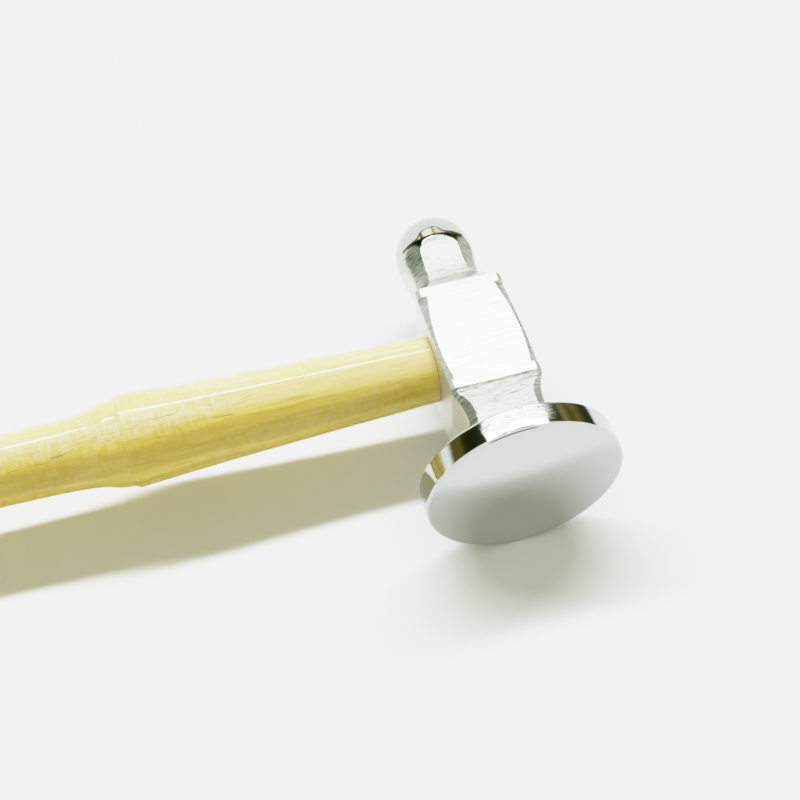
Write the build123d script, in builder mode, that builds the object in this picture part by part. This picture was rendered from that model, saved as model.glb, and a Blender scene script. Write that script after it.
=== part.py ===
from build123d import *
import math
import os

# Chasing hammer (a light ball peen hammer with a wide mirror face).
# Units are millimetres, +Z is up (normal of the head's upper cheek).
# The origin lies on the upper cheek, straight above the centre of the eye.
# The head's axis and the handle's axis cross at the centre of the eye, one
# cheek height below it.  The striking face looks toward -Y, the ball toward
# +Y, and the handle leaves the head toward -X.

# ---------------------------------------------------------------- head, turned
face_r = 15.0          # striking face radius (30 mm face)
face_rim_y = -25.47    # where the crowned face meets its rim radius
face_apex_y = -26.20   # highest point of the crown
rim_front_round = 0.45
rim_back_r = face_r + 0.03    # the rim widens slightly toward its back
rim_back_y = -21.26    # back edge of the face disc
rim_back_round = 0.50
round_mid = 0.29       # inset of a quarter round's midpoint, per unit radius
disc_back_r = 11.4     # where the disc's back starts to sweep into the neck
disc_back_y = -20.55
ring_r = 10.52         # collar rings at both ends of the barrel
face_ring_y0 = -10.95
face_ring_y1 = -9.40
ball_ring_y0 = 7.85
ball_ring_y1 = 9.62
ball_y = 23.88         # ball centre
ball_r = 6.74

# ---------------------------------------------------------------- head, milled
cheek_z = 8.40         # upper and lower cheek planes, distance from the axis
side_x = 7.00          # side planes, where the eye opens
neck_z = 7.66          # cheek flats of the face neck
neck_x = 5.80          # side flats of the face neck, at their narrowest
corner_flat = 5.90     # corner flats on the ball neck, distance from the axis
cutter_front_y = -20.6    # end of the cheek and side cutters, at the face disc
cutter_reach = 40.0    # far enough to clear every piece it cuts

# ------------------------------------------------------------------ eye, tenon
eye_in_r = 5.00        # eye radius on the handle side
eye_mid_r = 4.90       # waist of the eye
eye_mid_x = -1.5
eye_out_r = 5.45       # eye radius on the wedge side
tenon_proud = 0.80     # how far the tenon stands out of the eye
tenon_end_x = side_x + tenon_proud
tenon_chamfer = 0.30
overcut = 1.0          # how far the eye, kerf and slot cutters pass the surface

# --------------------------------------------------------------------- handle
handle_head_r = 5.32   # handle radius against the head
shoulder_x = -55.2     # lathe-cut shoulder
shoulder_r = 7.46
shank_x = -66.5        # where the cove runs into the shank
shank_r = 5.66
grip_end_x = -230.0

# --------------------------------------------------------------------- wedges
wood_wedge_top = 2.40  # thickness of the hardwood wedge at the tenon's end
wood_wedge_tip = 0.70
wood_wedge_depth = 11.0    # tip, measured from the tenon's end
wood_wedge_sink = 0.05     # top, below the tenon's end
steel_wedge_top = 1.50
steel_wedge_tip = 0.40
steel_wedge_wide = 6.40
steel_wedge_depth = 8.5    # length of the steel wedge
steel_wedge_sink = 0.25    # driven slightly below the tenon's end

wood_top_x = tenon_end_x - wood_wedge_sink
wood_tip_x = tenon_end_x - wood_wedge_depth
steel_top_x = tenon_end_x - steel_wedge_sink
steel_tip_x = steel_top_x - steel_wedge_depth

# Growth in half thickness per millimetre of length, and the half thickness
# each wedge's taper reaches where its cutter ends, past the tenon.
wood_slope = (wood_wedge_top - wood_wedge_tip) / 2 / (wood_wedge_depth - wood_wedge_sink)
kerf_mouth = wood_wedge_top / 2 + wood_slope * (wood_wedge_sink + overcut)
steel_slope = (steel_wedge_top - steel_wedge_tip) / 2 / steel_wedge_depth
slot_mouth = steel_wedge_top / 2 + steel_slope * (steel_wedge_sink + overcut)

# ----------------------------------------- planes and axes through the eye
eye_centre = (0, 0, -cheek_z)
LEVEL = Plane(origin=eye_centre, x_dir=(1, 0, 0), z_dir=(0, 0, 1))      # draws X, Y
UPRIGHT = Plane(origin=eye_centre, x_dir=(1, 0, 0), z_dir=(0, -1, 0))   # draws X, Z
CROSS = Plane(origin=eye_centre, x_dir=(0, 1, 0), z_dir=(1, 0, 0))      # draws Y, Z
HEAD_AXIS = Axis(eye_centre, (0, 1, 0))
HANDLE_AXIS = Axis(eye_centre, (1, 0, 0))

# ------------------------------------------------------------ head outlines
# Turned outline, columns (radius, y), from the face to the ball.
face_neck_turned = [
    (disc_back_r, disc_back_y), (9.90, -19.35), (9.15, -17.60),
    (8.92, -15.90), (8.95, -14.60), (9.14, -13.30),
    (9.42, -12.40), (9.74, -11.80), (10.24, face_ring_y0),
]
barrel_turned = [
    (10.22, face_ring_y1), (10.36, -8.00), (10.54, -5.00), (10.60, -2.50),
    (10.56, 0.00), (10.42, 3.00), (10.22, 5.60), (10.00, ball_ring_y0),
]
ball_neck_turned = [
    (9.90, ball_ring_y1), (9.45, 10.30), (8.75, 11.25), (7.90, 12.30),
    (7.05, 13.40), (6.42, 14.60), (6.14, 16.00), (6.12, 17.40),
    (6.28, 18.90), (6.48, 20.30), (6.64, 21.70), (6.73, 22.90),
    (ball_r, ball_y),
]

# Cheek cutter, columns (y, height from the axis).
cheek_cut_top = 12.5    # height where the cutter's sloping ends stop
cheek_cut_back_y = 24.5
ball_neck_cheek = [
    (ball_ring_y1, cheek_z), (11.0, 7.55), (12.4, 6.50), (13.8, 5.58),
    (15.2, 5.10), (16.8, 5.00), (18.4, 5.14), (19.8, 5.36),
    (20.9, 5.76), (21.6, 6.28), (22.2, 6.95),
]

# Side cutter, columns (x, y).
side_cut_front_x = 11.5
side_cut_back = (10.0, 22.4)
side_flat_y = -11.2     # where the face neck meets the flat side
face_neck_side = [
    (neck_x + 0.05, -16.6), (neck_x, -15.4), (5.98, -13.9),
    (6.34, -12.5), (side_x, side_flat_y),
]
ball_neck_side = [
    (side_x, ball_ring_y1), (6.42, 11.0), (5.86, 12.6), (5.56, 14.2),
    (5.52, 15.8), (5.70, 17.4), (6.02, 19.0), (6.70, 21.2),
]

# Corner cutter, columns (y, distance from the axis).
corner_cut_top = 8.4
corner_cut_deep = 8.0   # cut each way along the flat
ball_neck_corner = [
    (12.6, corner_cut_top), (13.5, 6.95), (14.6, 6.16),
    (15.9, corner_flat), (17.4, corner_flat + 0.02), (19.0, corner_flat + 0.14),
    (20.6, corner_flat + 0.36), (22.2, corner_flat + 0.76),
]

# Bore of the waisted eye, shared by the tenon and the hardwood wedge,
# columns (x, radius).
eye_bore = [(-side_x, eye_in_r), (eye_mid_x, eye_mid_r), (side_x, eye_out_r)]

# ---------------------------------------------------------- handle outlines
# Columns (x, radius), from the head to the end of the grip.
fore_end = [
    (-side_x - 0.25, handle_head_r + 0.02), (-14.0, 5.62), (-24.0, 5.98),
    (-34.0, 6.36), (-44.0, 6.80), (-51.0, 7.20), (shoulder_x, shoulder_r),
]
cove = [
    (shoulder_x, shoulder_r), (-57.2, 6.95), (-60.0, 6.28), (-63.0, 5.86),
    (shank_x, shank_r),
]
shank_and_grip = [
    (shank_x, shank_r), (-76.0, 5.50), (-92.0, 5.02), (-108.0, 4.72),
    (-124.0, 4.98), (-142.0, 6.30), (-160.0, 8.60), (-178.0, 11.00),
    (-196.0, 12.60), (-210.0, 12.85), (-221.0, 11.60), (-227.5, 8.60),
    (grip_end_x, 0),
]


def taper(top_x, half_top, tip_x, half_tip):
    """Corners of a wedge section that lies along x."""
    return [(top_x, half_top), (tip_x, half_tip), (tip_x, -half_tip), (top_x, -half_top)]


# The hardwood wedge's kerf and the steel wedge's slot, open past the tenon.
kerf_section = taper(tenon_end_x + overcut, kerf_mouth, wood_tip_x, wood_wedge_tip / 2)
slot_section = taper(tenon_end_x + overcut, slot_mouth, steel_tip_x, steel_wedge_tip / 2)

# =============================================================== head
with BuildPart() as head:
    # turned blank: one closed outline, spun about the head's axis
    with BuildSketch(LEVEL):
        with BuildLine():
            # crowned striking face
            crown_r = face_r - rim_front_round
            ThreePointArc(
                (0, face_apex_y),
                (0.5 * crown_r, face_apex_y + 0.25 * (face_rim_y - face_apex_y)),
                (crown_r, face_rim_y),
            )
            # rounded front edge, rim, rounded back edge
            rim_start = (face_r, face_rim_y + rim_front_round)
            rim_end = (rim_back_r, rim_back_y - rim_back_round)
            disc_back = (rim_back_r - rim_back_round, rim_back_y)
            ThreePointArc(
                (crown_r, face_rim_y),
                (
                    face_r - round_mid * rim_front_round,
                    face_rim_y + round_mid * rim_front_round,
                ),
                rim_start,
            )
            Line(rim_start, rim_end)
            ThreePointArc(
                rim_end,
                (
                    rim_back_r - round_mid * rim_back_round,
                    rim_back_y - round_mid * rim_back_round,
                ),
                disc_back,
            )
            # slightly conical back of the disc, then the swept neck
            Line(disc_back, face_neck_turned[0])
            Spline(*face_neck_turned, tangents=[(-1.0, 0.35), (0.25, 1.0)])
            # face-side ring
            Polyline(
                face_neck_turned[-1],
                (ring_r, face_ring_y0),
                (ring_r, face_ring_y1),
                barrel_turned[0],
            )
            Spline(*barrel_turned, tangents=[(0.15, 1.0), (-0.15, 1.0)])
            # ball-side ring
            Polyline(
                barrel_turned[-1],
                (ring_r, ball_ring_y0),
                (ring_r, ball_ring_y1),
                ball_neck_turned[0],
            )
            # waisted neck running into the ball
            Spline(*ball_neck_turned, tangents=[(-0.9, 1.0), (0.0, 1.0)])
            ThreePointArc(
                (ball_r, ball_y),
                (
                    ball_r * math.sin(math.radians(45)),
                    ball_y + ball_r * math.cos(math.radians(45)),
                ),
                (0, ball_y + ball_r),
            )
            Line((0, ball_y + ball_r), (0, face_apex_y))
        make_face()
    revolve(axis=HEAD_AXIS)

    # cheeks: one form cutter runs across the head along X, above and below
    with BuildSketch(CROSS):
        with BuildLine():
            # face neck, rising toward the disc at one end and the cheek at the other
            ThreePointArc((cutter_front_y, cheek_cut_top), (-19.3, 8.95), (-17.0, neck_z))
            Line((-17.0, neck_z), (-12.2, neck_z))
            ThreePointArc(
                (-12.2, neck_z), (-11.38, neck_z + 0.20), (face_ring_y0, cheek_z)
            )
            # flat cheek
            Line((face_ring_y0, cheek_z), (ball_ring_y1, cheek_z))
            # ramp down to the ball neck, then a shallow rise onto the ball
            Spline(*ball_neck_cheek, tangents=[(1.0, -0.50), (0.6, 0.8)])
            Polyline(
                ball_neck_cheek[-1],
                (cheek_cut_back_y, cheek_cut_top),
                (cheek_cut_back_y, cutter_reach),
                (cutter_front_y, cutter_reach),
                (cutter_front_y, cheek_cut_top),
            )
        make_face()
        mirror(about=Plane.XZ)
    extrude(amount=cutter_reach, both=True, mode=Mode.SUBTRACT)

    # sides: the eye faces and both narrowed necks, cutter along Z
    with BuildSketch(LEVEL):
        with BuildLine():
            ThreePointArc(
                (side_cut_front_x, cutter_front_y), (7.6, -18.9), face_neck_side[0]
            )
            Spline(*face_neck_side, tangents=[(-0.1, 1.0), (0.6, 1.0)])
            Line((side_x, side_flat_y), (side_x, ball_ring_y1))
            Spline(*ball_neck_side, tangents=[(-0.6, 1.0), (0.40, 1.0)])
            Polyline(
                ball_neck_side[-1],
                side_cut_back,
                (cutter_reach, side_cut_back[1]),
                (cutter_reach, cutter_front_y),
                (side_cut_front_x, cutter_front_y),
            )
        make_face()
        mirror(about=Plane.YZ)
    extrude(amount=cutter_reach, both=True, mode=Mode.SUBTRACT)

    # corner flats on the ball neck, between the cheeks and the sides
    for turn in (45, 135, 225, 315):
        with BuildSketch(CROSS.rotated((0, turn, 0))):
            with BuildLine():
                Spline(*ball_neck_corner, tangents=[(0.5, -1.0), (1.0, 0.35)])
                Polyline(
                    ball_neck_corner[-1], (22.7, corner_cut_top), ball_neck_corner[0]
                )
            make_face()
        extrude(amount=corner_cut_deep, both=True, mode=Mode.SUBTRACT)

    # eye, waisted, wider on the wedge side
    with BuildSketch(LEVEL):
        with BuildLine():
            Polyline(
                (-side_x - overcut, 0),
                (-side_x - overcut, eye_in_r + 0.02),
                *eye_bore,
                (side_x + overcut, eye_out_r + 0.06),
                (side_x + overcut, 0),
                close=True,
            )
        make_face()
    revolve(axis=HANDLE_AXIS, mode=Mode.SUBTRACT)

# ======================================================== hardwood wedge
# It sits in a saw kerf that lies level, in the plane of both axes, and
# spreads the tenon toward the cheeks.
with BuildPart() as wood_wedge:
    with BuildSketch(UPRIGHT):
        with BuildLine():
            Polyline(
                *taper(wood_top_x, wood_wedge_top / 2, wood_tip_x, wood_wedge_tip / 2),
                close=True,
            )
        make_face()
    extrude(amount=cutter_reach, both=True)
    # trimmed to the round of the tenon
    with BuildSketch(LEVEL):
        with BuildLine():
            Polyline(
                (-side_x, 0),
                *eye_bore,
                (tenon_end_x, eye_out_r),
                (tenon_end_x, 0),
                close=True,
            )
        make_face()
    revolve(axis=HANDLE_AXIS, mode=Mode.INTERSECT)
    # split by the steel wedge driven across it
    with BuildSketch(LEVEL):
        with BuildLine():
            Polyline(*slot_section, close=True)
        make_face()
    extrude(amount=steel_wedge_wide / 2, both=True, mode=Mode.SUBTRACT)

# =========================================================== steel wedge
# Thin, square to the hardwood one, with barb grooves across both broad faces.
groove_count = 3
groove_first = 1.8     # first groove, from the wedge's top
groove_pitch = 1.9
groove_depth = 0.16
groove_clear = 0.20    # cutter's height above the wedge's face

with BuildPart() as steel_wedge:
    with BuildSketch(LEVEL):
        with BuildLine():
            Polyline(
                *taper(steel_top_x, steel_wedge_top / 2, steel_tip_x, steel_wedge_tip / 2),
                close=True,
            )
        make_face()
    extrude(amount=steel_wedge_wide / 2, both=True)
    with BuildSketch(LEVEL):
        for groove in range(groove_count):
            groove_x = steel_top_x - groove_first - groove_pitch * groove
            face_y = steel_wedge_top / 2 - steel_slope * (steel_top_x - groove_x)
            with BuildLine():
                # steep toward the top, shallow toward the tip
                Polyline(
                    (groove_x + 0.50, face_y + groove_clear),
                    (groove_x + 0.42, face_y - groove_depth),
                    (groove_x - 0.60, face_y + 0.08),
                    (groove_x - 0.60, face_y + groove_clear),
                    close=True,
                )
            make_face()
        mirror(about=Plane.XZ)
    extrude(amount=steel_wedge_wide, both=True, mode=Mode.SUBTRACT)

# =============================================================== handle
# Turned hardwood handle: tenon in the eye, fore-end swelling to the lathe-cut
# shoulder, slim springy shank, pear-shaped grip.
with BuildPart() as handle:
    with BuildSketch(LEVEL):
        with BuildLine():
            # tenon, then the seat against the head with its corner eased
            Polyline(
                (tenon_end_x, 0),
                (tenon_end_x, eye_out_r - tenon_chamfer),
                (tenon_end_x - tenon_chamfer, eye_out_r),
                *reversed(eye_bore),
                (-side_x, handle_head_r - 0.10),
                fore_end[0],
            )
            Spline(*fore_end)
            # shoulder and cove
            Spline(*cove, tangents=[(-0.62, -0.55), (-1.0, -0.03)])
            Spline(*shank_and_grip, tangents=[(-1.0, -0.03), (0.0, -1.0)])
            Line((grip_end_x, 0), (tenon_end_x, 0))
        make_face()
    revolve(axis=HANDLE_AXIS)
    # saw kerf for the hardwood wedge
    with BuildSketch(UPRIGHT):
        with BuildLine():
            Polyline(*kerf_section, close=True)
        make_face()
    extrude(amount=cutter_reach, both=True, mode=Mode.SUBTRACT)
    # cut opened by the steel wedge
    with BuildSketch(LEVEL):
        with BuildLine():
            Polyline(*slot_section, close=True)
        make_face()
    extrude(amount=steel_wedge_wide / 2, both=True, mode=Mode.SUBTRACT)

# =============================================================== export
pieces = {
    "head": head,
    "handle": handle,
    "wood_wedge": wood_wedge,
    "steel_wedge": steel_wedge,
}
os.makedirs("parts", exist_ok=True)
for name, piece in pieces.items():
    piece.part.label = name
    export_step(piece.part, f"parts/{name}.step")
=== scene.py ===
"""Chasing hammer: polished plated head, lacquered turned handle, two wedges.

The head lies along Y, its face towards -Y and its ball towards +Y. The handle
lies along X, its grip towards -X. The head's cheeks look up and down Z, and its
eye opens on the sides, along X. Outlines are in millimetres from the centre of
the eye; shaders, floor, lights and camera are in metres.
"""

import math

import bmesh
import bpy
import numpy as np
from mathutils import Matrix, Vector


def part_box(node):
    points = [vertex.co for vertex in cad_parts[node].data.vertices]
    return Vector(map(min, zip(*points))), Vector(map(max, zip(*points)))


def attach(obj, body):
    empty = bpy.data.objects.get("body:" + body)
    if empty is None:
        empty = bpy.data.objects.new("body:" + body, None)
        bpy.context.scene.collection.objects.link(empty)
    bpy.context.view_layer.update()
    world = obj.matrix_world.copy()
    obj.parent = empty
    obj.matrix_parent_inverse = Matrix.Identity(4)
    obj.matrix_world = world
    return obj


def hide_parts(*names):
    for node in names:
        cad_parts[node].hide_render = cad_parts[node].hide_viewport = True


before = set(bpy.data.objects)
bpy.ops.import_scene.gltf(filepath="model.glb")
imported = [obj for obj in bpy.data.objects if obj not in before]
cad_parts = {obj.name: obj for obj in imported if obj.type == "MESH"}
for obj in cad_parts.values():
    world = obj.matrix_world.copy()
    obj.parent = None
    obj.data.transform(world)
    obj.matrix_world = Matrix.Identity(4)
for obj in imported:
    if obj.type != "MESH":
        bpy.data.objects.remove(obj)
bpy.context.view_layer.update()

# The head is symmetric above and below its axis, so its box gives the eye's height.
head_low, head_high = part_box("head")
EYE = np.array([0.0, 0.0, (head_low[2] + head_high[2]) / 2.0])
MM = 0.001


# --------------------------------------------------------------------- curves
def spline(points, start, end, samples):
    """Smooth curve (C2, chord-length parameter) through points.

    start and end are the directions at its ends; None leaves an end free.
    """
    points = np.array(points, float)
    chords = np.diff(points, axis=0)
    length = np.linalg.norm(chords, axis=1)
    station = np.concatenate([[0.0], np.cumsum(length)])
    count = len(points)
    matrix = np.zeros((count, count))
    target = np.zeros_like(points)
    for i in range(1, count - 1):
        before, after = length[i - 1], length[i]
        matrix[i, i - 1] = after
        matrix[i, i] = 2 * (before + after)
        matrix[i, i + 1] = before
        target[i] = 3 * (after * chords[i - 1] / before + before * chords[i] / after)
    for tip, neighbour, direction in ((0, 1, start), (-1, -2, end)):
        if direction is None:
            matrix[tip, tip], matrix[tip, neighbour] = 2, 1
            target[tip] = 3 * chords[tip] / length[tip]
        else:
            matrix[tip, tip] = 1
            target[tip] = np.array(direction, float) / np.linalg.norm(direction)
    slope = np.linalg.solve(matrix, target)
    query = np.linspace(0, station[-1], samples)
    k = np.clip(np.searchsorted(station, query, side="right") - 1, 0, count - 2)
    u = ((query - station[k]) / length[k])[:, None]
    span = length[k][:, None]
    return (
        (2 * u**3 - 3 * u**2 + 1) * points[k]
        + (u**3 - 2 * u**2 + u) * span * slope[k]
        + (-2 * u**3 + 3 * u**2) * points[k + 1]
        + (u**3 - u**2) * span * slope[k + 1]
    )


def arc_through(first, second, third, samples):
    """Circular arc through three points in the plane."""
    a, b, c = (np.array(point, float) for point in (first, second, third))
    det = 2 * (a[0] * (b[1] - c[1]) + b[0] * (c[1] - a[1]) + c[0] * (a[1] - b[1]))
    centre = np.array([
        ((a @ a) * (b[1] - c[1]) + (b @ b) * (c[1] - a[1]) + (c @ c) * (a[1] - b[1])) / det,
        ((a @ a) * (c[0] - b[0]) + (b @ b) * (a[0] - c[0]) + (c @ c) * (b[0] - a[0])) / det])
    radius = np.linalg.norm(a - centre)
    angles = [math.atan2(p[1] - centre[1], p[0] - centre[0]) for p in (a, b, c)]
    for i in (1, 2):
        while angles[i] - angles[i - 1] > math.pi:
            angles[i] -= 2 * math.pi
        while angles[i] - angles[i - 1] < -math.pi:
            angles[i] += 2 * math.pi
    sweep = np.linspace(angles[0], angles[2], samples)
    return np.c_[centre[0] + radius * np.cos(sweep), centre[1] + radius * np.sin(sweep)]


def arc_about(centre, radius, start, end, samples):
    """Arc about a centre, from the start to the end angle in degrees."""
    sweep = np.radians(np.linspace(start, end, samples))
    return np.c_[centre[0] + radius * np.cos(sweep), centre[1] + radius * np.sin(sweep)]


def resample(curve, spacing):
    """Points on a sampled curve with about the given spacing, ends kept."""
    steps = np.linalg.norm(np.diff(curve, axis=0), axis=1)
    station = np.concatenate([[0.0], np.cumsum(steps)])
    count = max(2, int(math.ceil(station[-1] / spacing)) + 1)
    query = np.linspace(0, station[-1], count)
    return np.c_[np.interp(query, station, curve[:, 0]), np.interp(query, station, curve[:, 1])]


def graded(curve, column, zones):
    """Resample by zones, each (upper limit of the column's value, spacing)."""
    pieces = []
    low = -math.inf
    for high, spacing in zones:
        inside = (curve[:, column] >= low) & (curve[:, column] < high)
        pieces.append(resample(curve[inside], spacing))
        low = high
    return np.concatenate(pieces)


def distinct(pieces, closest=1e-4):
    """Pieces joined, without points that nearly repeat the one before."""
    kept = []
    for point in np.concatenate(pieces):
        if not kept or np.hypot(*(point - kept[-1])) > closest:
            kept.append(point)
    return np.array(kept)


# --------------------------------------------------------------------- meshes
def link(obj):
    bpy.context.scene.collection.objects.link(obj)


def new_object(name, points, faces):
    """Linked mesh object; points in metres."""
    mesh = bpy.data.meshes.new(name)
    mesh.from_pydata(points, [], faces)
    mesh.validate(clean_customdata=False)
    mesh.update()
    obj = bpy.data.objects.new(name, mesh)
    link(obj)
    return obj


def from_eye(points):
    """Millimetres from the eye's centre to metres in the frame."""
    return (np.array(points, float) * MM + EYE).tolist()


def tidy(obj, merge, sharp_angle):
    """Merge coincident points, drop collapsed faces, point normals outward."""
    merge *= MM
    work = bmesh.new()
    work.from_mesh(obj.data)
    bmesh.ops.remove_doubles(work, verts=work.verts, dist=merge)
    bmesh.ops.dissolve_degenerate(work, edges=work.edges, dist=merge * 0.5)
    loose = [vert for vert in work.verts if not vert.link_faces]
    if loose:
        bmesh.ops.delete(work, geom=loose, context="VERTS")
    bmesh.ops.recalc_face_normals(work, faces=work.faces)
    for face in work.faces:
        face.smooth = True
    work.to_mesh(obj.data)
    work.free()
    obj.data.set_sharp_from_angle(angle=math.radians(sharp_angle))
    obj.data.update()


def skinned(name, rings):
    """Closed solid over rings of points; a ring of one point is a tip."""
    points, faces, numbered = [], [], []
    for ring in rings:
        numbered.append(range(len(points), len(points) + len(ring)))
        points.extend(ring)
    segments = max(len(ring) for ring in rings)
    for one, other in zip(numbered[:-1], numbered[1:]):
        for j in range(segments):
            k = (j + 1) % segments
            if len(one) == 1:
                faces.append((one[0], other[j], other[k]))
            elif len(other) == 1:
                faces.append((one[j], other[0], one[k]))
            else:
                faces.append((one[j], other[j], other[k], one[k]))
    return new_object(name, from_eye(points), faces)


def turned(name, profile, segments):
    """Closed solid of revolution about X. profile: (x, radius), ends on the axis."""
    angles = np.linspace(0, 2 * math.pi, segments, endpoint=False)
    rings = []
    for x, radius in profile:
        if radius < 1e-6:
            rings.append([(x, 0, 0)])
        else:
            rings.append([(x, radius * math.cos(t), radius * math.sin(t)) for t in angles])
    return skinned(name, rings)


def prism(name, outline, plane, half):
    """Closed prism. outline in (x, other); plane 'xy' or 'xz'."""
    count = len(outline)
    points = [(x, other, side) if plane == "xy" else (x, side, other)
              for side in (-half, half) for x, other in outline]
    faces = [tuple(range(count)), tuple(range(2 * count - 1, count - 1, -1))]
    for j in range(count):
        k = (j + 1) % count
        faces.append((j, k, count + k, count + j))
    return new_object(name, from_eye(points), faces)


def cut(obj, cutter):
    """Subtract cutter from obj and remove the cutter."""
    work = bmesh.new()
    work.from_mesh(cutter.data)
    bmesh.ops.recalc_face_normals(work, faces=work.faces)
    work.to_mesh(cutter.data)
    work.free()
    modifier = obj.modifiers.new("cut", "BOOLEAN")
    modifier.operation = "DIFFERENCE"
    modifier.solver = "EXACT"
    modifier.object = cutter
    depsgraph = bpy.context.evaluated_depsgraph_get()
    made = bpy.data.meshes.new_from_object(obj.evaluated_get(depsgraph))
    obj.modifiers.clear()
    old = obj.data
    obj.data = made
    made.name = obj.name
    bpy.data.meshes.remove(old)
    cutter_mesh = cutter.data
    bpy.data.objects.remove(cutter)
    bpy.data.meshes.remove(cutter_mesh)


# ------------------------------------------------------------- head: outline
FACE_R = 15.0
DOME_R = 145.36                                 # the face's crown
DOME_TOP_Y = -26.20
RIM_FRONT_Y, RIM_BACK_Y = -25.02, -21.76
FRONT_EDGE_R, BACK_EDGE_R = 0.45, 0.50
RIM_FLARE, RIM_BARREL = 0.03, 0.022             # growth to the back, swell in the middle
RING_R, RING_EDGE_R = 10.52, 0.08
BALL_Y, BALL_R = 23.88, 6.74

# (radius, y)
FACE_NECK = [
    (11.4, -20.55), (9.90, -19.35), (9.15, -17.60), (8.92, -15.90), (8.95, -14.60),
    (9.14, -13.30), (9.42, -12.40), (9.74, -11.80), (10.21, -11.00)]
BARREL = [
    (10.23, -9.33), (10.36, -8.00), (10.54, -5.00), (10.60, -2.50), (10.56, 0.0),
    (10.42, 3.00), (10.22, 5.60), (10.00, 7.80)]
BALL_NECK = [
    (9.87, 9.70), (9.45, 10.30), (8.75, 11.25), (7.90, 12.30), (7.05, 13.40),
    (6.42, 14.60), (6.14, 16.00), (6.12, 17.40), (6.28, 18.90), (6.48, 20.30),
    (6.64, 21.70), (6.73, 22.90), (BALL_R, BALL_Y)]
# (upper y limit, spacing)
FACE_NECK_ZONES = ((-18.4, 0.11), (-12.4, 0.26), (math.inf, 0.09))
BALL_NECK_ZONES = ((11.2, 0.12), (20.2, 0.19), (22.4, 0.07), (math.inf, 0.22))


def ring_band(lead_in, low_y, flank, high_y, lead_out):
    """Raised ring: rounded edges centred at low_y and high_y, flank y between."""
    edge_centre = RING_R - RING_EDGE_R
    return np.concatenate([
        lead_in,
        arc_about((edge_centre, low_y), RING_EDGE_R, -90, 0, 6),
        [(RING_R, y) for y in flank],
        arc_about((edge_centre, high_y), RING_EDGE_R, 0, 90, 6),
        lead_out])


def head_outline():
    """Turned outline (radius, y) from the face's centre to the ball's tip."""
    dome_radii = np.concatenate([np.linspace(0, 13.8, 24), [14.1, 14.35, 14.5]])
    rim_y = np.linspace(RIM_FRONT_Y, RIM_BACK_Y, 13)[1:-1]
    share = (rim_y - RIM_FRONT_Y) / (RIM_BACK_Y - RIM_FRONT_Y)
    rim_radii = FACE_R + RIM_FLARE * share + RIM_BARREL * 4 * share * (1 - share)
    back_edge = arc_about((FACE_R + RIM_FLARE - BACK_EDGE_R, RIM_BACK_Y), BACK_EDGE_R,
                          0, 77.2, 9)
    cone_shares = np.array([0.06, 0.3, 0.5, 0.7, 0.94])[:, None]
    outline = distinct([
        np.c_[dome_radii, DOME_TOP_Y + DOME_R - np.sqrt(DOME_R**2 - dome_radii**2)],
        arc_about((FACE_R - FRONT_EDGE_R, RIM_FRONT_Y), FRONT_EDGE_R, -84.3, 0, 9),
        np.c_[rim_radii, rim_y],
        back_edge,
        back_edge[-1] + (np.array(FACE_NECK[0]) - back_edge[-1]) * cone_shares,
        graded(spline(FACE_NECK, (-1.0, 0.35), (0.30, 1.0), 900), 1, FACE_NECK_ZONES),
        ring_band([(10.232, -10.965), (10.265, -10.95), (10.40, -10.95)], -10.87,
                  (-10.80, -10.45, -10.18, -9.90, -9.55), -9.48,
                  [(10.28, -9.40), (10.245, -9.385), (10.228, -9.35)]),
        resample(spline(BARREL, (0.10, 1.0), (-0.13, 1.0), 600), 0.55),
        ring_band([(10.0, 7.835), (10.03, 7.85), (10.25, 7.85), (10.40, 7.85)], 7.93,
                  (8.0, 8.35, 8.75, 9.15, 9.47), 9.54,
                  [(10.25, 9.62), (10.05, 9.62), (9.96, 9.632), (9.90, 9.66)]),
        graded(spline(BALL_NECK, (-0.55, 1.0), (0.0, 1.0), 1400), 1, BALL_NECK_ZONES),
        arc_about((0.0, BALL_Y), BALL_R, 0, 90, 42),
    ])
    outline[-1, 0] = 0.0
    return outline


# ------------------------------------------------- head: forms cut into the turning
FAR = 90.0                                      # a form this far out cuts nothing


def form(pieces):
    """Distance of a cut surface from the head's axis, as a function of y."""
    points = np.concatenate(pieces)
    points = points[np.argsort(points[:, 0], kind="stable")]

    def distance(y):
        y = np.asarray(y, float)
        inside = np.interp(y, points[:, 0], points[:, 1])
        return np.where((y < points[0, 0]) | (y > points[-1, 0]), FAR, inside)

    return distance


# points are (y, distance from the axis)
cheek_form = form([
    arc_through((-20.6, 12.5), (-19.3, 8.95), (-17.0, 7.66), 160),
    [(-16.9, 7.66), (-12.2, 7.66)],
    arc_through((-12.2, 7.66), (-11.38, 7.86), (-10.95, 8.40), 60),
    [(-10.94, 8.40), (9.60, 8.40)],
    spline([(9.62, 8.40), (11.0, 7.55), (12.4, 6.50), (13.8, 5.58), (15.2, 5.10),
            (16.8, 5.00), (18.4, 5.14), (19.8, 5.36), (20.9, 5.76), (21.6, 6.28),
            (22.2, 6.95)], (1.0, -0.50), (0.6, 0.8), 900),
    [(24.5, 12.5)],
])
side_form = form([
    arc_through((-20.6, 11.5), (-18.9, 7.6), (-16.6, 5.85), 160),
    spline([(-16.6, 5.85), (-15.4, 5.80), (-13.9, 5.98), (-12.5, 6.34), (-11.2, 7.0)],
           (1.0, -0.1), (1.0, 0.6), 200),
    [(-11.18, 7.0), (9.60, 7.0)],
    spline([(9.62, 7.0), (11.0, 6.42), (12.6, 5.86), (14.2, 5.56), (15.8, 5.52),
            (17.4, 5.70), (19.0, 6.02), (21.2, 6.70)], (1.0, -0.6), (1.0, 0.40), 600),
    [(22.4, 10.0), (24.5, 18.0)],
])
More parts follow.
